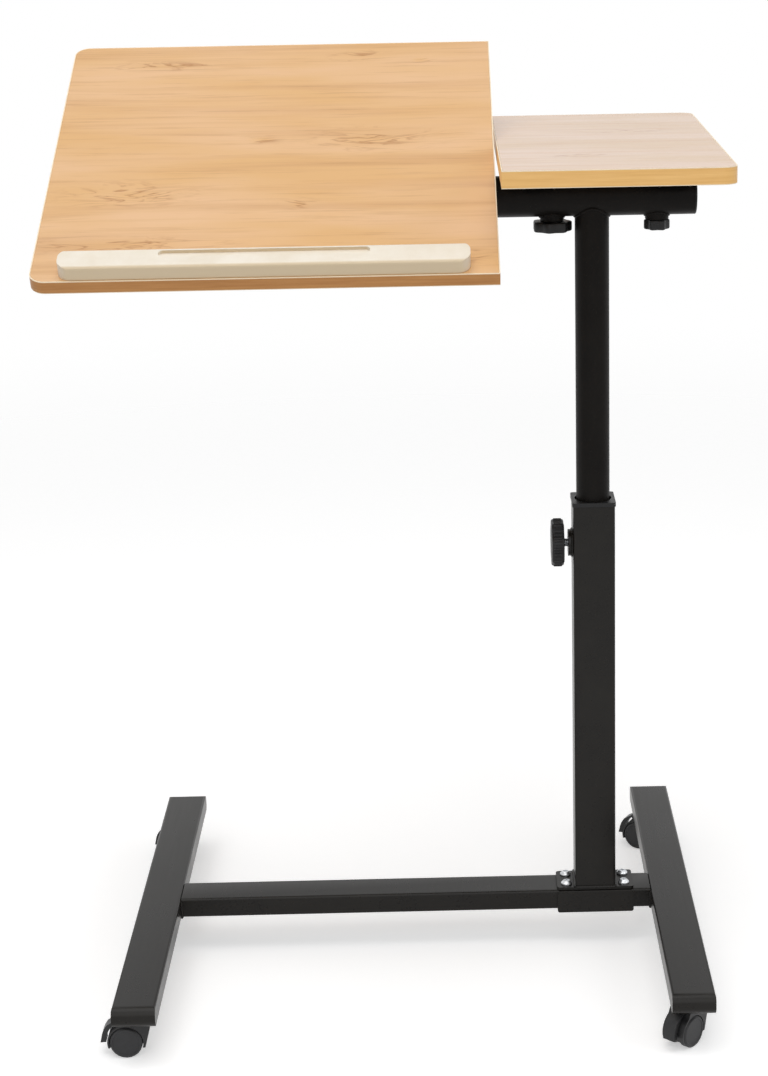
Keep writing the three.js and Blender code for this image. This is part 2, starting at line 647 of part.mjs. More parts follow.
const bigPlateTop = topRise - BIG_TOP_THICKNESS - SEAT;
const bigBracket = bracketGeometry(tiltTubeRadius, bigPlateTop);
steel(tilting, 'big_top_bracket_left', bigBracket.clone().translate(bigBracketLeft, 0, 0));
steel(tilting, 'big_top_bracket_right', bigBracket.clone().translate(bigBracketRight, 0, 0));
board(tilting, 'big_top', bigLeft, bigRight, BIG_TOP_DEPTH, BIG_TOP_THICKNESS, -1);

// Stop bar: rounded ends and top edges, and a shallow groove for pens along its back
const barLength = BIG_TOP_WIDTH - 2 * BAR_MARGIN;
const barSection = new THREE.Shape();
barSection.moveTo(-BAR_DEPTH / 2, 0);
barSection.lineTo(BAR_DEPTH / 2, 0);
barSection.absarc(BAR_DEPTH / 2 - BAR_ROUND, BAR_HEIGHT - BAR_ROUND, BAR_ROUND, 0, Math.PI / 2);
barSection.absarc(-BAR_DEPTH / 2 + BAR_ROUND, BAR_HEIGHT - BAR_ROUND, BAR_ROUND, Math.PI / 2, Math.PI);
barSection.closePath();
const bar = common(
  extrudeX(barSection, -barLength / 2, barLength, LARGE_STEPS),
  extrude(roundedOutline(barLength, BAR_DEPTH, BAR_END), BAR_HEIGHT, LARGE_STEPS),
);
const groove = extrude(roundedOutline(GROOVE_LENGTH, GROOVE_WIDTH, GROOVE_WIDTH / 2 - BAND_FIT), BAR_HEIGHT);
groove.translate(0, BAR_DEPTH / 2 - GROOVE_TO_BACK - GROOVE_WIDTH / 2, BAR_HEIGHT - GROOVE_DEPTH);
const barY = -BIG_TOP_DEPTH / 2 + BAR_SETBACK + BAR_DEPTH / 2;
const barX = (bigLeft + bigRight) / 2;
add(tilting, 'stop_bar', cut(bar, groove).translate(barX, barY, topRise + SEAT), FINISH.cream);

// Casters. Each is drawn with its stem on the Z axis, its trail along +X and its axle along Y.
const hoodTop = casterHeight - HOOD_TOP_GAP;
const pocketRadius = WHEEL_RADIUS + TYRE_GAP;
const hoodRadius = pocketRadius + HOOD_WALL;
const wheelInner = WEB_WIDTH / 2 + WHEEL_GAP;
const hoodWidth = 2 * (wheelInner + WHEEL_WIDTH - WHEEL_PROUD);
const skirtZ = WHEEL_RADIUS - HOOD_SKIRT;
const noseTip = CASTER_TRAIL - hoodRadius;
const noseX = noseTip - HOOD_NOSE;

// A point at a distance and an angle from the axle, as X and Z.
function fromAxle(radius, degrees) {
  const angle = radians(degrees);
  return new THREE.Vector2(
    CASTER_TRAIL + radius * Math.cos(angle),
    WHEEL_RADIUS + radius * Math.sin(angle),
  );
}

// The lever's barrel lies in a notch in the sloping back of the hood's shoulder.
const shoulderTop = new THREE.Vector2(CASTER_TRAIL + HOOD_SHOULDER, hoodTop);
const shoulderFoot = fromAxle(hoodRadius, HOOD_ARC_START);
const slope = shoulderTop.clone().sub(shoulderFoot).normalize();
const leverPivot = shoulderTop.clone().add(shoulderFoot).divideScalar(2);
leverPivot.add(new THREE.Vector2(slope.y, -slope.x).multiplyScalar(LEVER_BARREL_RAISE));

// Hood: one moulding with a roof over both wheels and a web between them
function hoodGeometry() {
  const outline = new THREE.Shape();
  outline.moveTo(noseX, hoodTop - HOOD_NOSE_DEPTH);
  outline.lineTo(noseTip, skirtZ);
  outline.absarc(CASTER_TRAIL, WHEEL_RADIUS, hoodRadius, radians(HOOD_ARC_END), radians(HOOD_ARC_START));
  outline.lineTo(shoulderTop.x, shoulderTop.y);
  outline.lineTo(noseX + HOOD_WALL, hoodTop);
  outline.lineTo(noseX, hoodTop - HOOD_WALL);
  outline.closePath();
  const pocket = rodY(pocketRadius, WEB_WIDTH / 2, hoodWidth).translate(CASTER_TRAIL, 0, WHEEL_RADIUS);
  const axleHole = rodY(AXLE_RADIUS + SEAT, -hoodWidth, hoodWidth, SMALL_ROUND);
  const pinBottom = hoodTop - STEM_PIN_LENGTH - SEAT;
  const notch = rodY(LEVER_BARREL + RUNNING, -LEVER_WIDTH / 2 - SEAT, LEVER_WIDTH / 2 + SEAT, SMALL_ROUND);
  return cut(
    extrudeY(outline, hoodWidth, LARGE_STEPS),
    pocket,
    pocket.clone().translate(0, -hoodWidth - WEB_WIDTH / 2, 0),
    axleHole.translate(CASTER_TRAIL, 0, WHEEL_RADIUS),
    rodZ(STEM_PIN_RADIUS + RUNNING, pinBottom, hoodTop + OVERCUT, SMALL_ROUND),
    notch.translate(leverPivot.x, 0, leverPivot.y),
  );
}

// Wheel: a disc with a round tyre edge, a dished outer face and a blind hole for the axle
function wheelGeometry() {
  const face = WHEEL_WIDTH - WHEEL_DISH;
  return turned([
    [0, face - WHEEL_FACE],
    [AXLE_RADIUS + RUNNING, face - WHEEL_FACE],
    [AXLE_RADIUS + RUNNING, 0],
    [WHEEL_RADIUS - WHEEL_ROUND, 0],
    [WHEEL_RADIUS, WHEEL_ROUND],
    [WHEEL_RADIUS, WHEEL_WIDTH - WHEEL_ROUND],
    [WHEEL_RADIUS - WHEEL_ROUND, WHEEL_WIDTH],
    [WHEEL_RADIUS - WHEEL_RIM, WHEEL_WIDTH],
    [WHEEL_RADIUS - WHEEL_RIM - WHEEL_DISH, face],
    [0, face],
  ], WHEEL_SIDES).translate(0, 0, wheelInner);
}

// Stem: a threaded shank in the foot, a flange under it and a pin in the hood
function stemGeometry() {
  return turned([
    [0, hoodTop - STEM_PIN_LENGTH],
    [STEM_PIN_RADIUS, hoodTop - STEM_PIN_LENGTH],
    [STEM_PIN_RADIUS, hoodTop + SEAT],
    [STEM_FLANGE_RADIUS, hoodTop + SEAT],
    [STEM_FLANGE_RADIUS, casterHeight - SEAT],
    [STEM_RADIUS, casterHeight - SEAT],
    [STEM_RADIUS, casterHeight + STEM_LENGTH],
    [0, casterHeight + STEM_LENGTH],
  ], SMALL_ROUND);
}

// Brake lever: a barrel, an arm and a curved pad that follows the back of the hood
function leverGeometry() {
  const inner = hoodRadius + LEVER_GAP;
  const outer = inner + LEVER_GAUGE;
  const toe = fromAxle(outer + LEVER_TOE, LEVER_TO);
  const heel = fromAxle(inner, LEVER_TO);
  const pad = new THREE.Shape();
  pad.moveTo(heel.x, heel.y);
  pad.lineTo(toe.x, toe.y);
  pad.absarc(CASTER_TRAIL, WHEEL_RADIUS, outer, radians(LEVER_TO + LEVER_TOE_SWEEP), radians(LEVER_FROM));
  pad.absarc(CASTER_TRAIL, WHEEL_RADIUS, inner, radians(LEVER_FROM), radians(LEVER_TO), true);
  const arm = new THREE.Shape([
    fromAxle(inner, LEVER_FROM),
    fromAxle(outer, LEVER_FROM),
    leverPivot.clone().add(new THREE.Vector2(0, LEVER_BARREL - SEAT)),
    leverPivot.clone().add(new THREE.Vector2(LEVER_BARREL - SEAT, 0)),
  ]);
  const barrel = rodY(LEVER_BARREL, -LEVER_WIDTH / 2, LEVER_WIDTH / 2, SMALL_ROUND);
  return join(
    extrudeY(pad, LEVER_WIDTH, LARGE_STEPS),
    extrudeY(arm, LEVER_WIDTH),
    barrel.translate(leverPivot.x, 0, leverPivot.y),
  );
}

const axleHalf = wheelInner + WHEEL_WIDTH - WHEEL_DISH - WHEEL_FACE - RUNNING;
for (const [place, heading] of Object.entries(CASTER_HEADINGS)) {
  const caster = new THREE.Group();
  const x = place.endsWith('left') ? leftFootX : rightFootX;
  const y = place.startsWith('front') ? -stemY : stemY;
  caster.position.set(x, y, 0);
  caster.rotation.z = radians(heading);
  base.add(caster);
  add(caster, `caster_${place}_stem`, stemGeometry(), FINISH.zinc);
  add(caster, `caster_${place}_hood`, hoodGeometry(), FINISH.plastic);
  const axle = rodY(AXLE_RADIUS, -axleHalf, axleHalf, SMALL_ROUND);
  add(caster, `caster_${place}_axle`, axle.translate(CASTER_TRAIL, 0, WHEEL_RADIUS), FINISH.zinc);
  const wheelA = wheelGeometry().rotateX(-Math.PI / 2).translate(CASTER_TRAIL, 0, WHEEL_RADIUS);
  const wheelB = wheelGeometry().rotateX(Math.PI / 2).translate(CASTER_TRAIL, 0, WHEEL_RADIUS);
  add(caster, `caster_${place}_wheel_a`, wheelA, FINISH.wheel);
  add(caster, `caster_${place}_wheel_b`, wheelB, FINISH.wheel);
  add(caster, `caster_${place}_brake_lever`, leverGeometry(), FINISH.plastic);
}

export default table;
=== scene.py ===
"""A rolling typewriter table with a tilting top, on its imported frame. Metres, +Z up, the sitter at -Y."""

from math import atan2, cos, pi, radians, sin, sqrt

import bpy
from mathutils import Matrix, Vector


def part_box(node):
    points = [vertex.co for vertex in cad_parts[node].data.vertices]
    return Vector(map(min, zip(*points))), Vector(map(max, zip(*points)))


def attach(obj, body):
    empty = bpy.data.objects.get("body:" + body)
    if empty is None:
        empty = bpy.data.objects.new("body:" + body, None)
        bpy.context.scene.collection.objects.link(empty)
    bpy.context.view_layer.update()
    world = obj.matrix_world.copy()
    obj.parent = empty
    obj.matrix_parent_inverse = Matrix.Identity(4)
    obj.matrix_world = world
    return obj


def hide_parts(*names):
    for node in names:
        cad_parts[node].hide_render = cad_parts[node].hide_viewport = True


bpy.ops.wm.read_factory_settings(use_empty=True)
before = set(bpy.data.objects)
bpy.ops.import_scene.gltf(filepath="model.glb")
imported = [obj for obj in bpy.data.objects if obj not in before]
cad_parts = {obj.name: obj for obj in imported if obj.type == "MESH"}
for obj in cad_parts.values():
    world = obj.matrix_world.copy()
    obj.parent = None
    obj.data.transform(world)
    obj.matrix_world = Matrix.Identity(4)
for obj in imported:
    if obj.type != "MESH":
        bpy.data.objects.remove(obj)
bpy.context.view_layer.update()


# Feet and crossbar. Two closed bars of 40 x 20 mm steel tube stand on the casters, with a third between them.
# They are welded up, blasted and powder coated black. The coat melts to a fine orange peel with a low gloss,
# so it is near black seen square on and pale grey at a flat angle.
MM = 0.001
COAT = "#181614"
COAT_RUBBED = "#201e1b"
DUST = "#4b4a47"
PEEL_CELL = 1.3 * MM
PEEL_DEPTH = 0.012 * MM
RUB_CELL = 45 * MM
WIPE_CELL = 4 * MM
WIPE_STRETCH = 20
DUST_CELL = 0.9 * MM  # dust is drawn coarser than it is, so that it shows
DUST_STRENGTH = 0.4
NOISE_LOW = 0.3  # a noise texture's values mostly lie between these two
NOISE_HIGH = 0.7
FACTOR, COLOUR_A, COLOUR_B = 0, 6, 7  # a Mix node's sockets for colours
SMOOTH_BELOW = radians(33)
EDGE_SEGMENTS = 3
MESH_TOLERANCE = 0.01 * MM


def linear(code):
    """A colour from its sRGB hex code, as linear RGBA."""
    values = [int(code[i:i + 2], 16) / 255 for i in (1, 3, 5)]
    return [v / 12.92 if v <= 0.04045 else ((v + 0.055) / 1.055) ** 2.4 for v in values] + [1]


def node(tree, kind, sockets=None, **settings):
    """Adds a node. Its sockets take plain values, other nodes or their outputs."""
    made = tree.nodes.new(kind)
    for name, value in settings.items():
        setattr(made, name, value)
    for key, value in (sockets or {}).items():
        if isinstance(value, bpy.types.Node):
            value = next(socket for socket in value.outputs if socket.enabled)
        if isinstance(value, bpy.types.NodeSocket):
            tree.links.new(value, made.inputs[key])
        else:
            made.inputs[key].default_value = value
    return made


def finish(name, **constants):
    """A new material: its tree, its shader set to constants, and coordinates that stay with the piece."""
    made = bpy.data.materials.new(name)
    made.use_nodes = True
    shader = made.node_tree.nodes["Principled BSDF"]
    for socket, value in constants.items():
        shader.inputs[socket.replace("_", " ")].default_value = value
    place = node(made.node_tree, "ShaderNodeTexCoord").outputs["Object"]
    return made, made.node_tree, shader, place


def surface(tree, shader, **sockets):
    """Links nodes to the shader's sockets, with underscores for the spaces in their names."""
    for name, made in sockets.items():
        output = next(socket for socket in made.outputs if socket.enabled)
        tree.links.new(output, shader.inputs[name.replace("_", " ")])


def powder_coat(name, level, dark, faded, glossy, dull):
    """Black powder coat on steel, between two colours and two values of roughness."""
    made, tree, shader, place = finish(name, IOR=1.5, Specular_IOR_Level=level)
    rubbed = node(tree, "ShaderNodeTexNoise", {
        "Vector": place, "Scale": 1 / RUB_CELL, "Detail": 6, "Roughness": 0.62,
    })
    wiped = node(tree, "ShaderNodeTexNoise", {
        "Vector": node(tree, "ShaderNodeMapping", {"Vector": place, "Scale": (1, 1 / WIPE_STRETCH, 1)}),
        "Scale": 1 / WIPE_CELL, "Detail": 3,
    })
    specks = node(tree, "ShaderNodeTexNoise", {"Vector": place, "Scale": 1 / DUST_CELL, "Detail": 1})
    colour = node(tree, "ShaderNodeMix", {
        FACTOR: node(tree, "ShaderNodeMapRange", {
            "Value": rubbed, "From Min": NOISE_LOW, "From Max": NOISE_HIGH,
        }),
        COLOUR_A: linear(dark), COLOUR_B: linear(faded),
    }, data_type="RGBA")
    dusty = node(tree, "ShaderNodeMix", {
        FACTOR: node(tree, "ShaderNodeMapRange", {
            "Value": specks, "From Min": 0.7, "From Max": 0.8, "To Max": DUST_STRENGTH,
        }),
        COLOUR_A: colour, COLOUR_B: linear(DUST),
    }, data_type="RGBA")
    worn = node(tree, "ShaderNodeMath", {0: rubbed, 1: wiped}, operation="ADD")
    peel = node(tree, "ShaderNodeTexNoise", {"Vector": place, "Scale": 1 / PEEL_CELL, "Detail": 2})
    surface(
        tree, shader, Base_Color=dusty,
        Roughness=node(tree, "ShaderNodeMapRange", {
            "Value": worn, "From Min": 0.7, "From Max": 1.3, "To Min": glossy, "To Max": dull,
        }),
        Normal=node(tree, "ShaderNodeBump", {"Height": peel, "Distance": PEEL_DEPTH}),
    )
    return made


# Faceted solids are shaded smooth across shallow edges and sharp across steep ones.
smooth = bpy.data.node_groups.new("smooth_by_angle", "GeometryNodeTree")
smooth.interface.new_socket("Geometry", in_out="INPUT", socket_type="NodeSocketGeometry")
smooth.interface.new_socket("Geometry", in_out="OUTPUT", socket_type="NodeSocketGeometry")
whole = node(smooth, "GeometryNodeMergeByDistance", {
    "Geometry": node(smooth, "NodeGroupInput"), "Distance": MESH_TOLERANCE,
})
plain = node(smooth, "GeometryNodeRemoveAttribute", {"Geometry": whole, "Name": "custom_normal"})
soft = node(smooth, "GeometryNodeSetShadeSmooth", {"Geometry": plain, "Shade Smooth": True}, domain="FACE")
steep = node(smooth, "FunctionNodeCompare", {
    "A": node(smooth, "GeometryNodeInputMeshEdgeAngle"), "B": SMOOTH_BELOW,
}, operation="GREATER_THAN")
sharp = node(smooth, "GeometryNodeSetShadeSmooth", {
    "Geometry": soft, "Selection": steep, "Shade Smooth": False,
}, domain="EDGE")
node(smooth, "NodeGroupOutput", {"Geometry": sharp})


def dress(name, material, edge=0):
    """Gives a CAD piece its material and, where asked, a small bevel on its steep edges."""
    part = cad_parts[name]
    part.data.materials.clear()
    part.data.materials.append(material)
    part.modifiers.new("smooth", "NODES").node_group = smooth
    if edge:
        bevel = part.modifiers.new("edge", "BEVEL")
        bevel.width = edge
        bevel.segments = EDGE_SEGMENTS
        bevel.angle_limit = SMOOTH_BELOW
        bevel.harden_normals = True


base_coat = powder_coat(
    "black_powder_coat_on_steel", level=0.19, dark=COAT, faded=COAT_RUBBED, glossy=0.26, dull=0.33
)
for name in ("left_foot", "right_foot", "crossbar"):
    dress(name, base_coat)


# Welds of the base. Beads join the crossbar's ends to the feet, laid by hand in overlapping puddles.
# They were ground off level with the top faces, and coated with the rest.
BEAD = 1.5 * MM
PUDDLE = 2.6 * MM
PUDDLE_DIP = 0.16  # how much thinner a bead is between two puddles
BEAD_SIDES = 8
STEPS_PER_PUDDLE = 4


def new_mesh(name, points, faces, material, body):
    """A made piece that rides on a CAD body."""
    mesh = bpy.data.meshes.new(name)
    mesh.from_pydata(points, [], faces)
    mesh.materials.append(material)
    mesh.shade_smooth()
    mesh.set_sharp_from_angle(angle=SMOOTH_BELOW)
    piece = bpy.data.objects.new(name, mesh)
    bpy.context.scene.collection.objects.link(piece)
    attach(piece, body)
    return piece


def weld(name, path, material, body, closed=False):
    """A rippled bead along a line of points."""
    spots = [Vector(p) for p in path]
    if closed:
        spots.append(spots[0])
    walk = []
    for a, b in zip(spots, spots[1:]):
        count = max(1, round((b - a).length * STEPS_PER_PUDDLE / PUDDLE))
        walk += [a.lerp(b, i / count) for i in range(count)]
    if not closed:
        walk.append(spots[-1])
    last = len(walk) - 1
    points = []
    for i, p in enumerate(walk):
        ahead = walk[(i + 1) % len(walk)] if closed else walk[min(i + 1, last)]
        behind = walk[i - 1] if closed else walk[max(i - 1, 0)]
        along = (ahead - behind).normalized()
        side = along.orthogonal().normalized()
        up = along.cross(side)
        radius = BEAD * (1 - PUDDLE_DIP * (1 - abs(cos(pi * i / STEPS_PER_PUDDLE))))
        for k in range(BEAD_SIDES):
            turn = 2 * pi * k / BEAD_SIDES
            points.append(p + radius * (cos(turn) * side + sin(turn) * up))
    faces = []
    for i in range(len(walk) if closed else last):
        j = (i + 1) % len(walk)
        for k in range(BEAD_SIDES):
            m = (k + 1) % BEAD_SIDES
            faces.append((i * BEAD_SIDES + k, i * BEAD_SIDES + m, j * BEAD_SIDES + m, j * BEAD_SIDES + k))
    if not closed:
        faces.append(tuple(reversed(range(BEAD_SIDES))))
        faces.append(tuple(last * BEAD_SIDES + k for k in range(BEAD_SIDES)))
    new_mesh(name, points, faces, material, body)


crossbar_low, crossbar_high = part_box("crossbar")
for side, x in (("left", crossbar_low.x), ("right", crossbar_high.x)):
    weld(f"weld_crossbar_{side}", [
        (x, crossbar_low.y, crossbar_high.z - 2 * BEAD),
        (x, crossbar_low.y, crossbar_low.z),
        (x, crossbar_high.y, crossbar_low.z),
        (x, crossbar_high.y, crossbar_high.z - 2 * BEAD),
    ], base_coat, "base")


# Column with its flange and saddle. A 40 mm square tube is welded on a plate that is screwed through the
# crossbar to a folded saddle under it. All three have the base's powder coat.
for name in ("saddle_clamp", "column_flange", "column_tube"):
    dress(name, base_coat)
column_low, column_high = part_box("column_tube")
weld("weld_column_foot", [
    (column_low.x, column_low.y, column_low.z),
    (column_high.x, column_low.y, column_low.z),
    (column_high.x, column_high.y, column_low.z),
    (column_low.x, column_high.y, column_low.z),
], base_coat, "base", closed=True)


# Saddle screws. Four pan-head machine screws of steel, cold headed and zinc plated, hold flange and saddle.
# The plating is bright and bluish, clouded by handling, with fine marks of the header.
CORNERS = ("front_left", "front_right", "rear_left", "rear_right")
ZINC = "#e6e8ea"
ZINC_CLOUDED = "#bfc2c5"
CLOUD_CELL = 2.5 * MM
HEADER_CELL = 0.5 * MM
HEADER_DEPTH = 0.01 * MM

zinc, tree, shader, place = finish("zinc_plated_steel", Metallic=1)
clouds = node(tree, "ShaderNodeTexNoise", {
    "Vector": place, "Scale": 1 / CLOUD_CELL, "Detail": 4, "Roughness": 0.6,
})
marks = node(tree, "ShaderNodeTexNoise", {"Vector": place, "Scale": 1 / HEADER_CELL, "Detail": 1})
surface(
    tree, shader,
    Base_Color=node(tree, "ShaderNodeMix", {
        FACTOR: node(tree, "ShaderNodeMapRange", {
            "Value": clouds, "From Min": NOISE_LOW, "From Max": NOISE_HIGH,
        }),
        COLOUR_A: linear(ZINC_CLOUDED), COLOUR_B: linear(ZINC),
    }, data_type="RGBA"),
    Roughness=node(tree, "ShaderNodeMapRange", {
        "Value": clouds, "From Min": NOISE_LOW, "From Max": NOISE_HIGH, "To Min": 0.5, "To Max": 0.36,
    }),
    Normal=node(tree, "ShaderNodeBump", {"Height": marks, "Distance": HEADER_DEPTH}),
)
for corner in CORNERS:
    dress(f"saddle_screw_{corner}", zinc)


# Collar. A cap of black polypropylene closes the column and guides the post in its round bore.
# Its mould was spark eroded, so it is matt with a fine grit, and polished in patches by hands.
MOULDED = "#0e0e0f"
MOULDED_WORN = "#171718"
SPARK_CELL = 0.45 * MM
SPARK_DEPTH = 0.02 * MM
HANDLED_CELL = 12 * MM


def moulded(name, level, dark, worn, roughness, worn_roughness):
    """Matt moulded plastic with a spark-eroded grit and worn patches."""
    made, tree, shader, place = finish(name, IOR=1.49, Specular_IOR_Level=level)
    handled = node(tree, "ShaderNodeTexNoise", {
        "Vector": place, "Scale": 1 / HANDLED_CELL, "Detail": 5, "Roughness": 0.6,
    })
    grit = node(tree, "ShaderNodeTexNoise", {"Vector": place, "Scale": 1 / SPARK_CELL, "Detail": 2})
    surface(
        tree, shader,
        Base_Color=node(tree, "ShaderNodeMix", {
            FACTOR: node(tree, "ShaderNodeMapRange", {
                "Value": handled, "From Min": NOISE_LOW, "From Max": NOISE_HIGH,
            }),
            COLOUR_A: linear(dark), COLOUR_B: linear(worn),
        }, data_type="RGBA"),
        Roughness=node(tree, "ShaderNodeMapRange", {
            "Value": handled, "From Min": NOISE_LOW, "From Max": NOISE_HIGH,
            "To Min": roughness, "To Max": worn_roughness,
        }),
        Normal=node(tree, "ShaderNodeBump", {"Height": grit, "Distance": SPARK_DEPTH}),
    )
    return made


black_plastic = moulded(
    "black_moulded_polypropylene", level=0.3, dark=MOULDED, worn=MOULDED_WORN,
    roughness=0.5, worn_roughness=0.36,
)
dress("column_collar", black_plastic)


# Height clamp. A lobed knob of the same plastic turns a zinc-plated stud through a welded boss against the
# post. Grip ribs are moulded on the knob's rim. The stud has a rolled M8 thread, so a true helix takes the
# place of its plain cylinder.
KNOB_ROUND = 1.6 * MM
RIB_WIDTH = 1.7 * MM
RIB_HEIGHT = 1.0 * MM
RIB_SUNK = 0.3 * MM
RIB_TAPER = 0.9 * MM
RIB_STEPS = 6
ANGLE_DIGITS = 3
THREAD_PITCH = 1.25 * MM
THREAD_DEPTH = 0.55 * MM
THREAD_SIDES = 24
RINGS_PER_TURN = 6
BOSS_STEPS = 32

stud_low, stud_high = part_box("height_stud")
stud_radius = (stud_high.z - stud_low.z) / 2
stud_middle = (stud_low + stud_high) / 2
dress("height_boss", base_coat)
dress("height_knob", black_plastic)

# One grip rib stands on each flat of the knob's outline and tapers off at both ends.
knob_low, knob_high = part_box("height_knob")
rim_start, rim_end = knob_low.x + KNOB_ROUND, knob_high.x - KNOB_ROUND
outline = {}
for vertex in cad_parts["height_knob"].data.vertices:
    spoke = vertex.co - stud_middle
    if abs(vertex.co.x - rim_start) < MESH_TOLERANCE:
        outline[round(atan2(spoke.z, spoke.y), ANGLE_DIGITS)] = Vector((0, spoke.y, spoke.z))
corners = [stud_middle + outline[turn] for turn in sorted(outline)]
stations = ((rim_start, 0), (rim_start + RIB_TAPER, 1), (rim_end - RIB_TAPER, 1), (rim_end, 0))
arc = [pi * k / RIB_STEPS for k in range(RIB_STEPS + 1)]
points, faces = [], []
for a, b in zip(corners, corners[1:] + corners[:1]):
    along = (b - a).normalized()
    outward = Vector((0, along.z, -along.y))
    for x, share in stations:
        ring = [(RIB_WIDTH / 2, -RIB_SUNK)]
        ring += [(RIB_WIDTH / 2 * cos(turn), share * RIB_HEIGHT * sin(turn)) for turn in arc]
        ring.append((-RIB_WIDTH / 2, -RIB_SUNK))
        middle = Vector((x, (a.y + b.y) / 2, (a.z + b.z) / 2))
        points += [middle + u * along + v * outward for u, v in ring]
    count = len(ring)
    first = len(points) - len(stations) * count
    faces.append(tuple(range(first, first + count)))
    for i in range(len(stations) - 1):
        row, after = first + i * count, first + (i + 1) * count
        for k in range(count):
            m = (k + 1) % count
            faces.append((row + k, after + k, after + m, row + m))
    faces.append(tuple(reversed(range(len(points) - count, len(points)))))
new_mesh("height_knob_ribs", points, faces, black_plastic, "height_clamp")

# The stud's thread is a round rod whose radius rises and falls along a helix.
rings = round((stud_high.x - stud_low.x) / THREAD_PITCH * RINGS_PER_TURN)
points = []
for i in range(rings + 1):
    x = stud_low.x + (stud_high.x - stud_low.x) * i / rings
    for k in range(THREAD_SIDES):
        turn = 2 * pi * k / THREAD_SIDES
        phase = ((x - stud_low.x) / THREAD_PITCH - k / THREAD_SIDES) % 1
        radius = stud_radius - THREAD_DEPTH * abs(2 * phase - 1)
        points.append((x, stud_middle.y + radius * cos(turn), stud_middle.z + radius * sin(turn)))
faces = []
for i in range(rings):
    for k in range(THREAD_SIDES):
        m = (k + 1) % THREAD_SIDES
        row, after = i * THREAD_SIDES, (i + 1) * THREAD_SIDES
        faces.append((row + k, row + m, after + m, after + k))
faces.append(tuple(reversed(range(THREAD_SIDES))))
faces.append(tuple(rings * THREAD_SIDES + k for k in range(THREAD_SIDES)))
thread = new_mesh("height_stud_thread", points, faces, zinc, "height_clamp")
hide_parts("height_stud")

boss_low, boss_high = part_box("height_boss")
boss_radius = (boss_high.z - boss_low.z) / 2
boss_turns = [2 * pi * k / BOSS_STEPS for k in range(BOSS_STEPS)]
weld("weld_height_boss", [
    (boss_high.x, boss_radius * cos(t), stud_middle.z + boss_radius * sin(t)) for t in boss_turns
], base_coat, "base", closed=True)


# Casters. Each has a plated stem and axle, a moulded hood and brake lever, and two wheels.
# Hood and lever are black nylon with a soft shine. The wheels are hard grey nylon, scuffed to a duller grey.
HOOD = "#1b1b1c"
HOOD_WORN = "#272728"
WHEEL = "#222223"
WHEEL_SCUFFED = "#303032"

hood_nylon = moulded(
    "black_moulded_nylon", level=0.4, dark=HOOD, worn=HOOD_WORN, roughness=0.48, worn_roughness=0.36
)
wheel_nylon = moulded(
    "grey_wheel_nylon", level=0.4, dark=WHEEL, worn=WHEEL_SCUFFED, roughness=0.42, worn_roughness=0.56
)
for corner in CORNERS:
    caster = f"caster_{corner}"
    dress(f"{caster}_stem", zinc)
    dress(f"{caster}_axle", zinc)
    dress(f"{caster}_hood", hood_nylon)
    dress(f"{caster}_brake_lever", hood_nylon)
    dress(f"{caster}_wheel_a", wheel_nylon)
    dress(f"{caster}_wheel_b", wheel_nylon)


# Post and cross tube. A round steel tube slides on a plastic shoe in the column, and the cross tube is welded
# on its head. They have a deeper, more matt black coat than the base, with a bead round each joint.
TUBE_COAT = "#131110"
TUBE_RUBBED = "#1b1917"
RING_STEPS = 48

tube_coat = powder_coat(
    "matt_black_powder_coat_on_steel", level=0.07, dark=TUBE_COAT, faded=TUBE_RUBBED, glossy=0.34, dull=0.46
)
dress("guide_bush", black_plastic)
dress("cross_tube_plug", black_plastic)
for name in ("post_tube", "cross_tube", "tilt_boss", "tilt_end_boss"):
    dress(name, tube_coat)
cross_low, cross_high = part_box("cross_tube")
cross_radius = (cross_high.z - cross_low.z) / 2
cross_axis = (cross_high.z + cross_low.z) / 2
for name in ("post_tube", "tilt_boss", "tilt_end_boss"):
    low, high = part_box(name)
    middle, radius = (low.x + high.x) / 2, (high.x - low.x) / 2
    line = []
    for k in range(RING_STEPS):
        turn = 2 * pi * k / RING_STEPS
        y = radius * sin(turn)
        line.append((middle + radius * cos(turn), y, cross_axis - sqrt(cross_radius ** 2 - y ** 2)))
    weld(f"weld_{name}", line, tube_coat, "post", closed=True)


# Tilt clamps. Two lobed knobs under the cross tube press their plated studs on the tube inside it.
# The knobs are the same moulding as the collar.
for name in ("tilt", "tilt_end"):
    dress(f"{name}_knob", black_plastic)
    dress(f"{name}_stud", zinc)


# Tilt tube and brackets. The tube turns in the cross tube and carries the tilting top.
# Brackets of folded steel sheet, welded on both tubes, hold the boards. All have the tubes' coat.
dress("tilt_tube", tube_coat)
dress("tilt_tube_plug", black_plastic)
for top in ("big_top", "small_top"):
    dress(f"{top}_bracket_left", tube_coat)
    dress(f"{top}_bracket_right", tube_coat)


# Tops. Two particle boards are faced with a printed oak laminate, pressed with a satin plate. The print is
# honey coloured, with long soft streaks along X that swirl round knots with thin brown checks. On the small
# top it is painted greyer, as a painted sheen of light glancing off that level board. The grain lines are
# drawn coarser than real ones, so that they show.
BIG_TONES = ("#e4b889", "#ddad71")
# The small top's tones are greyer as a painted sheen of light glancing off that level board.
SMALL_TONES_WITH_PAINTED_SHEEN = ("#d8b69a", "#cea87c")
OAK_STREAK = "#c49058"
OAK_LINE = "#a9733e"
OAK_CHECK = "#9a5c1a"
STREAK_STRENGTH = 0.7
LINE_STRENGTH = 0.5
CHECK_STRENGTH = 0.62
TILT = radians(24)
PORE_CELL = 1.2 * MM
GRAIN_CELL = 5 * MM
STREAK_CELL = 26 * MM
PATCH_CELL = 70 * MM
FLOW_CELL = 110 * MM
FLOW = 9 * MM
FLOW_STRETCH = 10 / 3
CHECK_CELL = 12 * MM
STRETCH = 30
PATCH_STRETCH = 4
CHECK_STRETCH = 5
PORE_DEPTH = 0.015 * MM
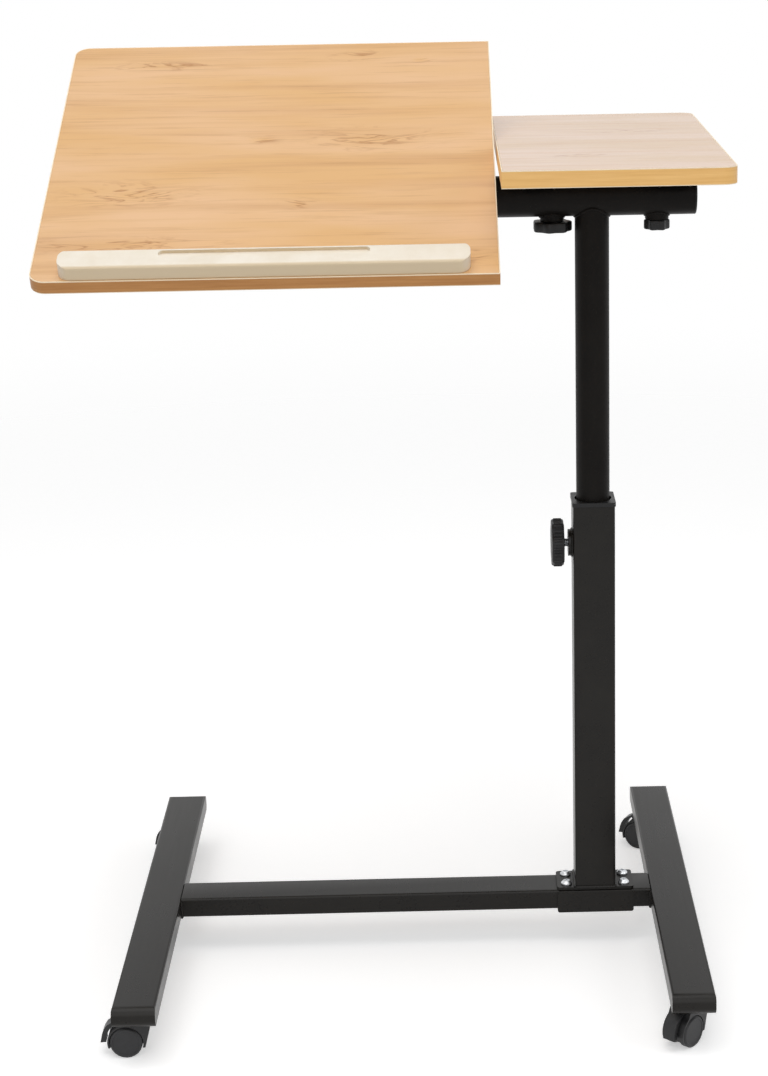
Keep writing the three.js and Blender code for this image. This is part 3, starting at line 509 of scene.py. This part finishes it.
# A knot's place from its board's middle, its length, its width and how far it bends the grain, in metres.
BIG_KNOTS = (
    (-0.010, 0.024, 0.030, 0.014, 0.003),
    (0.088, 0.022, 0.105, 0.034, 0.006),
    (-0.125, -0.066, 0.095, 0.036, 0.006),
    (-0.105, 0.162, 0.120, 0.014, 0.004),
    (0.026, -0.085, 0.026, 0.016, 0.003),
    (0.078, 0.175, 0.050, 0.018, 0.004),
    (0.133, 0.166, 0.022, 0.012, 0.003),
    (-0.126, -0.145, 0.150, 0.018, 0.005),
    # Painted shade: this last knot darkens the board by the stop bar's right end, where the bar shades it.
    (0.178, -0.172, 0.024, 0.020, 0.003),
)
SMALL_KNOTS = (
    (0.020, 0.060, 0.080, 0.026, 0.006),
    (-0.030, -0.110, 0.060, 0.022, 0.005),
)


def oak_laminate(name, middle, tilt, tones, knots):
    """Oak print in two tones, with streaks, grain lines and knots, on a board whose middle is at an x."""
    made, tree, shader, place = finish(name, IOR=1.5)
    board = node(tree, "ShaderNodeMapping", {
        "Vector": place, "Location": (middle, 0, cross_axis), "Rotation": (tilt, 0, 0),
    }, vector_type="TEXTURE")
    parts = node(tree, "ShaderNodeSeparateXYZ", {0: board})
    flow = node(tree, "ShaderNodeTexNoise", {
        "Vector": node(tree, "ShaderNodeMapping", {"Vector": board, "Scale": (1 / FLOW_STRETCH, 1, 1)}),
        "Scale": 1 / FLOW_CELL, "Detail": 2,
    })
    across = node(tree, "ShaderNodeMath", {
        0: parts.outputs["Y"],
        1: node(tree, "ShaderNodeMapRange", {"Value": flow, "To Min": -FLOW, "To Max": FLOW}),
    }, operation="ADD")
    heart = None
    for x, y, length, width, swell in knots:
        hill = node(tree, "ShaderNodeTexGradient", {
            "Vector": node(tree, "ShaderNodeMapping", {
                "Vector": board, "Location": (x, y, 0), "Scale": (length, width, 1),
            }, vector_type="TEXTURE"),
        }, gradient_type="QUADRATIC_SPHERE").outputs["Fac"]
        lift = node(tree, "ShaderNodeMath", {0: hill, 1: swell}, operation="MULTIPLY")
        across = node(tree, "ShaderNodeMath", {0: across, 1: lift}, operation="ADD")
        heart = node(tree, "ShaderNodeMath", {0: heart, 1: hill}, operation="MAXIMUM") if heart else hill
    bent = node(tree, "ShaderNodeCombineXYZ", {0: parts.outputs["X"], 1: across})
    along = node(tree, "ShaderNodeMapping", {"Vector": bent, "Scale": (1 / STRETCH, 1, 1)})
    pores = node(tree, "ShaderNodeTexNoise", {"Vector": along, "Scale": 1 / PORE_CELL, "Detail": 2})
    grain = node(tree, "ShaderNodeTexNoise", {
        "Vector": along, "Scale": 1 / GRAIN_CELL, "Detail": 5, "Roughness": 0.7,
    })
    streaks = node(tree, "ShaderNodeTexNoise", {
        "Vector": along, "Scale": 1 / STREAK_CELL, "Detail": 5, "Roughness": 0.62, "Distortion": 0.5,
    })
    patches = node(tree, "ShaderNodeTexNoise", {
        "Vector": node(tree, "ShaderNodeMapping", {"Vector": bent, "Scale": (1 / PATCH_STRETCH, 1, 1)}),
        "Scale": 1 / PATCH_CELL, "Detail": 3,
    })
    swirls = node(tree, "ShaderNodeTexNoise", {
        "Vector": node(tree, "ShaderNodeMapping", {"Vector": bent, "Scale": (1 / CHECK_STRETCH, 1, 1)}),
        "Scale": 1 / CHECK_CELL, "Detail": 3, "Distortion": 1.2,
    })
    colour = node(tree, "ShaderNodeMix", {
        FACTOR: node(tree, "ShaderNodeMath", {
            0: node(tree, "ShaderNodeMapRange", {"Value": patches, "From Min": 0.36, "From Max": 0.6}),
            1: heart,
        }, operation="MAXIMUM"),
        COLOUR_A: linear(tones[0]), COLOUR_B: linear(tones[1]),
    }, data_type="RGBA")
    colour = node(tree, "ShaderNodeMix", {
        FACTOR: node(tree, "ShaderNodeMapRange", {
            "Value": streaks, "From Min": 0.5, "From Max": 0.74, "To Max": STREAK_STRENGTH,
        }),
        COLOUR_A: colour, COLOUR_B: linear(OAK_STREAK),
    }, data_type="RGBA")
    colour = node(tree, "ShaderNodeMix", {
        FACTOR: node(tree, "ShaderNodeMapRange", {
            "Value": grain, "From Min": 0.54, "From Max": 0.74, "To Max": LINE_STRENGTH,
        }),
        COLOUR_A: colour, COLOUR_B: linear(OAK_LINE),
    }, data_type="RGBA")
    off_line = node(tree, "ShaderNodeMath", {
        0: node(tree, "ShaderNodeMath", {0: swirls, 1: 0.5}, operation="SUBTRACT"),
    }, operation="ABSOLUTE")
    check = node(tree, "ShaderNodeMath", {
        0: node(tree, "ShaderNodeMapRange", {"Value": off_line, "From Max": 0.05, "To Min": 1, "To Max": 0}),
        1: node(tree, "ShaderNodeMapRange", {
            "Value": heart, "From Min": 0.02, "From Max": 0.6, "To Max": CHECK_STRENGTH,
        }),
    }, operation="MULTIPLY")
    colour = node(tree, "ShaderNodeMix", {
        FACTOR: check, COLOUR_A: colour, COLOUR_B: linear(OAK_CHECK),
    }, data_type="RGBA")
    surface(
        tree, shader, Base_Color=colour,
        Roughness=node(tree, "ShaderNodeMapRange", {
            "Value": pores, "From Min": NOISE_LOW, "From Max": NOISE_HIGH, "To Min": 0.18, "To Max": 0.27,
        }),
        Normal=node(tree, "ShaderNodeBump", {"Height": pores, "Distance": PORE_DEPTH}),
    )
    return made


big_low, big_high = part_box("big_top")
small_low, small_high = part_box("small_top")
big_middle = (big_low.x + big_high.x) / 2
small_middle = (small_low.x + small_high.x) / 2
big_oak = oak_laminate("oak_laminate_of_big_top", big_middle, TILT, BIG_TONES, BIG_KNOTS)
small_oak = oak_laminate("oak_laminate_of_small_top", small_middle, 0, SMALL_TONES_WITH_PAINTED_SHEEN, SMALL_KNOTS)
dress("big_top", big_oak)
dress("small_top", small_oak)


# Edge bands. A strip of oak-print ABS is glued round each board and trimmed level with its faces.
# Its grain runs along the strip. The trimmer bares the pale core of the plastic on both rims, as a fine light
# line, which is also a painted highlight of the rims catching the light. The small top's strip is more
# golden.
# The big top's strip is printed darker, partly as painted shade, because its front faces down.
# The big top's strip is darker, partly as painted shade on its front, which faces down.
BIG_BAND_WITH_PAINTED_SHADE = ("#c78c4a", "#b27739")
SMALL_BAND = ("#f6c67e", "#e8b468")
BAND_CELL = 2.2 * MM
BAND_STRETCH = 26
BAND_RIM = 0.5 * MM
BAND_CORE_AND_HIGHLIGHT = "#f6e3c4"
RIM_LINE_WIDTH = 0.7 * MM


def board_frame(tilt):
    """A board's own frame, which starts on the cross tube's axis and is turned by the tilt."""
    return Matrix.Translation((0, 0, cross_axis)) @ Matrix.Rotation(tilt, 4, "X")


for top, tilt, (light, dark) in (("big_top", TILT, BIG_BAND_WITH_PAINTED_SHADE), ("small_top", 0, SMALL_BAND)):
    band_print, tree, shader, place = finish(f"oak_print_abs_band_of_{top}", IOR=1.5)
    to_board = board_frame(tilt).inverted()
    heights = [(to_board @ v.co).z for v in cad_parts[top].data.vertices]
    half_depth = (max(heights) - min(heights)) / 2
    strip = node(tree, "ShaderNodeMapping", {
        "Vector": place, "Location": (0, 0, cross_axis), "Rotation": (tilt, 0, 0),
    }, vector_type="TEXTURE")
    off_middle = node(tree, "ShaderNodeMath", {
        0: node(tree, "ShaderNodeMath", {
            0: node(tree, "ShaderNodeSeparateXYZ", {0: strip}).outputs["Z"],
            1: (max(heights) + min(heights)) / 2,
        }, operation="SUBTRACT"),
    }, operation="ABSOLUTE")
    # Partly painted highlight: a pale line on both rims, for the bared core and for the rims catching the
    # light.
    pale_rim_line = node(tree, "ShaderNodeMath", {
        0: off_middle, 1: half_depth - RIM_LINE_WIDTH,
    }, operation="GREATER_THAN")
    lines = node(tree, "ShaderNodeTexNoise", {
        "Vector": node(tree, "ShaderNodeMapping", {
            "Vector": strip, "Scale": (1 / BAND_STRETCH, 1 / BAND_STRETCH, 1),
        }),
        "Scale": 1 / BAND_CELL, "Detail": 4, "Roughness": 0.6,
    })
    print_colour = node(tree, "ShaderNodeMix", {
        FACTOR: node(tree, "ShaderNodeMapRange", {
            "Value": lines, "From Min": NOISE_LOW, "From Max": NOISE_HIGH,
        }),
        COLOUR_A: linear(light), COLOUR_B: linear(dark),
    }, data_type="RGBA")
    surface(
        tree, shader,
        Base_Color=node(tree, "ShaderNodeMix", {
            FACTOR: pale_rim_line, COLOUR_A: print_colour, COLOUR_B: linear(BAND_CORE_AND_HIGHLIGHT),
        }, data_type="RGBA"),
        Roughness=node(tree, "ShaderNodeMapRange", {
            "Value": lines, "From Min": NOISE_LOW, "From Max": NOISE_HIGH, "To Min": 0.36, "To Max": 0.46,
        }),
        Normal=node(tree, "ShaderNodeBump", {"Height": lines, "Distance": PORE_DEPTH}),
    )
    dress(f"{top}_edge_band", band_print, BAND_RIM)


# Stop bar. A bar of cream ABS with rounded ends and a pen groove is screwed on from under the tilting top.
# It is a satin moulding with faint flow marks. Its front face is painted darker and warmer, as painted
# shade and painted warm bounce light from the wood.
CREAM = "#eee6d8"
CREAM_FLOW = "#e4d9c6"
CREAM_FRONT_PAINTED_SHADE = "#dcc8a8"
FLOW_MARK_CELL = 30 * MM
SATIN_CELL = 0.6 * MM
SATIN_DEPTH = 0.012 * MM
BAR_RIM = 1.6 * MM

cream, tree, shader, place = finish("cream_satin_abs", IOR=1.53, Specular_IOR_Level=0.4)
marks = node(tree, "ShaderNodeTexNoise", {
    "Vector": place, "Scale": 1 / FLOW_MARK_CELL, "Detail": 5, "Roughness": 0.6,
})
satin = node(tree, "ShaderNodeTexNoise", {"Vector": place, "Scale": 1 / SATIN_CELL, "Detail": 2})
cream_marked = node(tree, "ShaderNodeMix", {
    FACTOR: node(tree, "ShaderNodeMapRange", {
        "Value": marks, "From Min": NOISE_LOW, "From Max": NOISE_HIGH,
    }),
    COLOUR_A: linear(CREAM), COLOUR_B: linear(CREAM_FLOW),
}, data_type="RGBA")
# Painted shade: faces turned to the front get a darker, warmer cream, standing for shade and warm bounce
# light.
facing = node(tree, "ShaderNodeSeparateXYZ", {0: node(tree, "ShaderNodeTexCoord").outputs["Normal"]})
surface(
    tree, shader,
    Base_Color=node(tree, "ShaderNodeMix", {
        FACTOR: node(tree, "ShaderNodeMapRange", {
            "Value": facing.outputs["Y"], "From Min": -0.6, "From Max": -0.9,
        }),
        COLOUR_A: cream_marked, COLOUR_B: linear(CREAM_FRONT_PAINTED_SHADE),
    }, data_type="RGBA"),
    Roughness=node(tree, "ShaderNodeMapRange", {
        "Value": marks, "From Min": NOISE_LOW, "From Max": NOISE_HIGH, "To Min": 0.4, "To Max": 0.5,
    }),
    Normal=node(tree, "ShaderNodeBump", {"Height": satin, "Distance": SATIN_DEPTH}),
)
dress("stop_bar", cream, BAR_RIM)


# Wood screws. Small zinc-plated pan heads hold the boards on their brackets, and three more hold the stop
# bar. Each head has a cross recess and sits tight under the bracket's sheet or the board.
HEAD_RADIUS = 3.6 * MM
HEAD_HEIGHT = 1.8 * MM
HEAD_CROWN = 2.8 * MM
HEAD_RIM = 0.8 * MM
RECESS_RADIUS = 2 * MM
RECESS_WIDTH = 0.5 * MM
RECESS_DEPTH = 1.1 * MM
BRACKET_GAUGE = 2.5 * MM
BRACKET_HALF = 100 * MM
HOLE_INSET = 15 * MM
HOLE_PITCH = 30 * MM
SEAT = 0.3 * MM
UNDER_HEAD = 0.1 * MM


def pan_head():
    """A pan head with a cross recess, seated at z = 0 and facing down, as points and faces."""
    arm, half = RECESS_RADIUS, RECESS_WIDTH
    corners = [(half, half), (half, arm), (-half, arm), (-half, half), (-arm, half), (-arm, -half),
               (-half, -half), (-half, -arm), (half, -arm), (half, -half), (arm, -half), (arm, half)]
    count = len(corners)
    rounds = [Vector((x, y)).normalized() for x, y in corners]
    loops = [
        [(x, y, RECESS_DEPTH - HEAD_HEIGHT) for x, y in corners],
        [(x, y, -HEAD_HEIGHT) for x, y in corners],
        [(*(HEAD_CROWN * r), -HEAD_HEIGHT) for r in rounds],
        [(*(HEAD_RADIUS * r), -HEAD_RIM) for r in rounds],
        [(*(HEAD_RADIUS * r), 0) for r in rounds],
    ]
    points = [p for loop in loops for p in loop]
    faces = [tuple(range(count))[::-1]]
    for level in range(len(loops) - 1):
        for k in range(count):
            m = (k + 1) % count
            a, b = level * count, (level + 1) * count
            faces.append((a + k, a + m, b + m, b + k))
    faces.append(tuple(range((len(loops) - 1) * count, len(loops) * count)))
    return points, faces


def screws(name, places, turn, body):
    """Pan heads at places on a board, in the frame of the cross tube's axis."""
    points, faces = [], []
    head_points, head_faces = pan_head()
    for spot in places:
        start = len(points)
        points += [turn @ (Vector(spot) + Vector(p)) for p in head_points]
        faces += [tuple(start + i for i in face) for face in head_faces]
    new_mesh(name, points, faces, zinc, body)


level_top = board_frame(0)
tilted_top = board_frame(TILT)
outer = BRACKET_HALF - HOLE_INSET
hole_rows = (-outer, HOLE_PITCH - outer, outer - HOLE_PITCH, outer)
undersides = {}
for top, turn, body in (("small_top", level_top, "post"), ("big_top", tilted_top, "tilting_top")):
    undersides[top] = min((turn.inverted() @ v.co).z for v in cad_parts[top].data.vertices)
    middles = []
    for side in ("left", "right"):
        low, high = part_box(f"{top}_bracket_{side}")
        middles.append((low.x + high.x) / 2)
    seat = undersides[top] - SEAT - BRACKET_GAUGE - UNDER_HEAD
    screws(f"{top}_bracket_screws", [(x, y, seat) for x in middles for y in hole_rows], turn, body)
bar_points = [tilted_top.inverted() @ v.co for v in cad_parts["stop_bar"].data.vertices]
bar_y = (min(p.y for p in bar_points) + max(p.y for p in bar_points)) / 2
bar_left, bar_right = min(p.x for p in bar_points), max(p.x for p in bar_points)
bar_third = (bar_right - bar_left) / 3
bar_seat = undersides["big_top"] - UNDER_HEAD
screws("stop_bar_screws", [
    ((bar_left + bar_right) / 2 + step * bar_third, bar_y, bar_seat) for step in (-1, 0, 1)
], tilted_top, "tilting_top")


# Floor. A round sheet of matt white paper takes the soft shadows and fades out into the white surround.
# It glows a little for the camera and in reflections, and so reads as white with no more light on the table.
PAPER = "#f6f6f6"
PAPER_GLOW = 0.45
FLOOR_RADIUS = 3.2
FADE_FROM = 0.9
FLOOR_SIDES = 96

paper, tree, shader, place = finish(
    "matt_white_paper", Base_Color=linear(PAPER), Emission_Color=linear(PAPER), Roughness=0.9,
    Specular_IOR_Level=0,
)
rays = node(tree, "ShaderNodeLightPath")
seen = node(tree, "ShaderNodeMath", {
    0: rays.outputs["Is Camera Ray"], 1: rays.outputs["Is Glossy Ray"],
}, operation="MAXIMUM")
reach = node(tree, "ShaderNodeVectorMath", {0: place}, operation="LENGTH")
surface(
    tree, shader,
    Emission_Strength=node(tree, "ShaderNodeMapRange", {"Value": seen, "To Max": PAPER_GLOW}),
    Alpha=node(tree, "ShaderNodeMapRange", {
        "Value": reach.outputs["Value"], "From Min": FADE_FROM, "From Max": FLOOR_RADIUS,
        "To Min": 1, "To Max": 0,
    }, interpolation_type="SMOOTHSTEP"),
)
rim = [2 * pi * k / FLOOR_SIDES for k in range(FLOOR_SIDES)]
sheet = bpy.data.meshes.new("floor")
sheet.from_pydata(
    [(FLOOR_RADIUS * cos(t), FLOOR_RADIUS * sin(t), 0) for t in rim], [], [tuple(range(FLOOR_SIDES))]
)
sheet.materials.append(paper)
floor = bpy.data.objects.new("floor", sheet)
bpy.context.scene.collection.objects.link(floor)


# Light. A white surround, a large soft lamp overhead, a soft box behind the camera and a smaller one at the
# right. The surround is full white for the camera and in reflections, and dimmer as a light.
SURROUND = 0.35
SKY = "#ffffff"
AIM = Vector((0, 0, 0.5))
LAMPS = {  # watts, then width and place in metres
    "overhead": (39, 2.4, (-0.3, -0.5, 3.2)),
    "front": (42, 3.4, (-0.3, -3.4, 2.4)),
    "side": (9, 1.2, (2.3, -0.7, 1.9)),
}

world = bpy.data.worlds.new("studio")
bpy.context.scene.world = world
world.use_nodes = True
tree = world.node_tree
rays = node(tree, "ShaderNodeLightPath")
seen = node(tree, "ShaderNodeMath", {
    0: rays.outputs["Is Camera Ray"], 1: rays.outputs["Is Glossy Ray"],
}, operation="MAXIMUM")
seen = node(tree, "ShaderNodeMath", {0: seen, 1: rays.outputs["Is Transmission Ray"]}, operation="MAXIMUM")
backdrop = tree.nodes["Background"]
backdrop.inputs["Color"].default_value = linear(SKY)
surface(tree, backdrop, Strength=node(tree, "ShaderNodeMapRange", {"Value": seen, "To Min": SURROUND}))
for name, (power, width, spot) in LAMPS.items():
    lamp = bpy.data.lights.new(name, "AREA")
    lamp.energy = power
    lamp.size = width
    holder = bpy.data.objects.new(name, lamp)
    holder.location = spot
    holder.rotation_euler = (AIM - Vector(spot)).to_track_quat("-Z", "Y").to_euler()
    bpy.context.scene.collection.objects.link(holder)


# Camera. It stands in front of the table, a little above the tops, as in the photograph. It was fitted to the
# table's straight edges there, and the lens is given in the photograph's pixels.
PHOTO_WIDTH = 768
PHOTO_HEIGHT = 1076
FOCAL = 2415.07
CENTRE_X = 484
EYE = Vector((53.306, -2227.502, 1080.951)) * MM
PITCH = radians(16.473)
YAW = radians(0.79)
ROLL = radians(-0.981)
SENSOR = 36  # millimetres along the photograph's longer side

forward = Vector((sin(YAW) * cos(PITCH), cos(YAW) * cos(PITCH), -sin(PITCH)))
right = Vector((cos(YAW), -sin(YAW), 0))
up = right.cross(forward)
across = cos(ROLL) * right + sin(ROLL) * up
upward = -sin(ROLL) * right + cos(ROLL) * up
lens = bpy.data.cameras.new("camera")
lens.sensor_width = SENSOR
lens.lens = FOCAL / PHOTO_HEIGHT * SENSOR
lens.shift_x = (PHOTO_WIDTH / 2 - CENTRE_X) / PHOTO_HEIGHT
camera = bpy.data.objects.new("camera", lens)
turn = Matrix((across, upward, -forward)).transposed().to_4x4()
camera.matrix_world = Matrix.Translation(EYE) @ turn
bpy.context.scene.collection.objects.link(camera)
bpy.context.scene.camera = camera
bpy.context.scene.view_settings.view_transform = "Standard"
